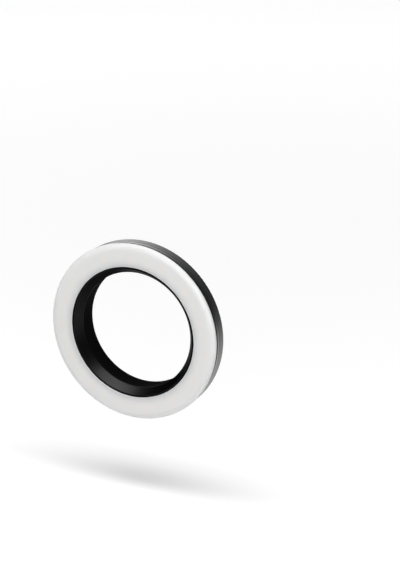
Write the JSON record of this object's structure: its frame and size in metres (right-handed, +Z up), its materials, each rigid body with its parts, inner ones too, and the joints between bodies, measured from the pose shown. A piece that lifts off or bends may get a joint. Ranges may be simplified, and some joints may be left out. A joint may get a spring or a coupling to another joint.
{
  "type": "ring video light",
  "caption": "Slim ring video light with an opal face, a black cone and housing, rear push buttons and a turning threaded mount for the front of a camera lens.",
  "frame": {"origin": "centre of the seat that meets the lens, on the thread's axis", "axes": "+Y along the thread, towards the lens; the lit face looks along -Y; +Z up"},
  "size_m": [0.096, 0.016, 0.096],
  "materials": {
    "opal": "satin opal acrylic",
    "black_anodised": "satin black anodised",
    "matte_black": "fine matte black",
    "black_plastic": "satin black moulding",
    "button_black": "satin black with pale marks",
    "white_reflector": "matte white moulding",
    "white_board": "white solder mask",
    "warm_phosphor": "orange phosphor in a white frame",
    "cool_phosphor": "yellow phosphor in a white frame",
    "thermal_grey": "soft grey sheet",
    "copper": "insulated copper",
    "black_steel": "black oxide steel",
    "spring_steel": "bright spring wire",
    "glide_white": "waxy white",
    "cell_foil": "silver foil pouch",
    "foam": "closed-cell black foam",
    "flex_amber": "amber flexible circuit",
    "board_green": "green solder mask",
    "chip_black": "moulded chip package",
    "switch_steel": "tinned steel frame",
    "clear_pipe": "clear acrylic",
    "nickel": "nickel plated"
  },
  "bodies": {
    "lens_mount": {"mount_ring": "black_anodised"},
    "light_head": {"diffuser": "opal", "inner_cone": "matte_black", "reflector_tray": "white_reflector", "warm_leds": "warm_phosphor", "cool_leds": "cool_phosphor", "led_board": "white_board", "thermal_pad": "thermal_grey", "led_leads": "copper", "front_housing": "black_anodised", "back_cover": "black_plastic", "cover_screws": "black_steel", "snap_ring": "spring_steel", "glide_washer": "glide_white", "cell_flex": "flex_amber", "control_board": "board_green", "charge_board": "board_green", "control_board_screws": "black_steel", "charge_board_screws": "black_steel", "driver_chips": "chip_black", "charge_coils": "chip_black", "tact_switches": "switch_steel", "lamp_chips": "white_board", "light_pipes": "clear_pipe", "socket_shell": "nickel", "socket_tongue": "black_plastic", "battery_cell_1": "cell_foil", "cell_pad_1": "foam", "battery_cell_2": "cell_foil", "cell_pad_2": "foam", "battery_cell_3": "cell_foil", "cell_pad_3": "foam", "battery_cell_4": "cell_foil", "cell_pad_4": "foam"},
    "power_key": {"power_button": "button_black", "power_plunger": "chip_black"},
    "brighter_key": {"brighter_button": "button_black", "brighter_plunger": "chip_black"},
    "dimmer_key": {"dimmer_button": "button_black", "dimmer_plunger": "chip_black"},
    "colour_key": {"colour_button": "button_black", "colour_plunger": "chip_black"}
  },
  "joints": [
    {"name": "head_turn", "type": "hinge", "parent": "lens_mount", "child": "light_head", "pos_m": [0, 0, 0], "axis": [0, 1, 0], "continuous": true},
    {"name": "power_press", "type": "slide", "parent": "light_head", "child": "power_key", "axis": [0, -1, 0], "range_m": [0, 0.00035], "stiffness_N_per_m": 2000, "springref_m": -0.00045},
    {"name": "brighter_press", "type": "slide", "parent": "light_head", "child": "brighter_key", "axis": [0, -1, 0], "range_m": [0, 0.00035], "stiffness_N_per_m": 2000, "springref_m": -0.00045},
    {"name": "dimmer_press", "type": "slide", "parent": "light_head", "child": "dimmer_key", "axis": [0, -1, 0], "range_m": [0, 0.00035], "stiffness_N_per_m": 2000, "springref_m": -0.00045},
    {"name": "colour_press", "type": "slide", "parent": "light_head", "child": "colour_key", "axis": [0, -1, 0], "range_m": [0, 0.00035], "stiffness_N_per_m": 2000, "springref_m": -0.00045}
  ]
}
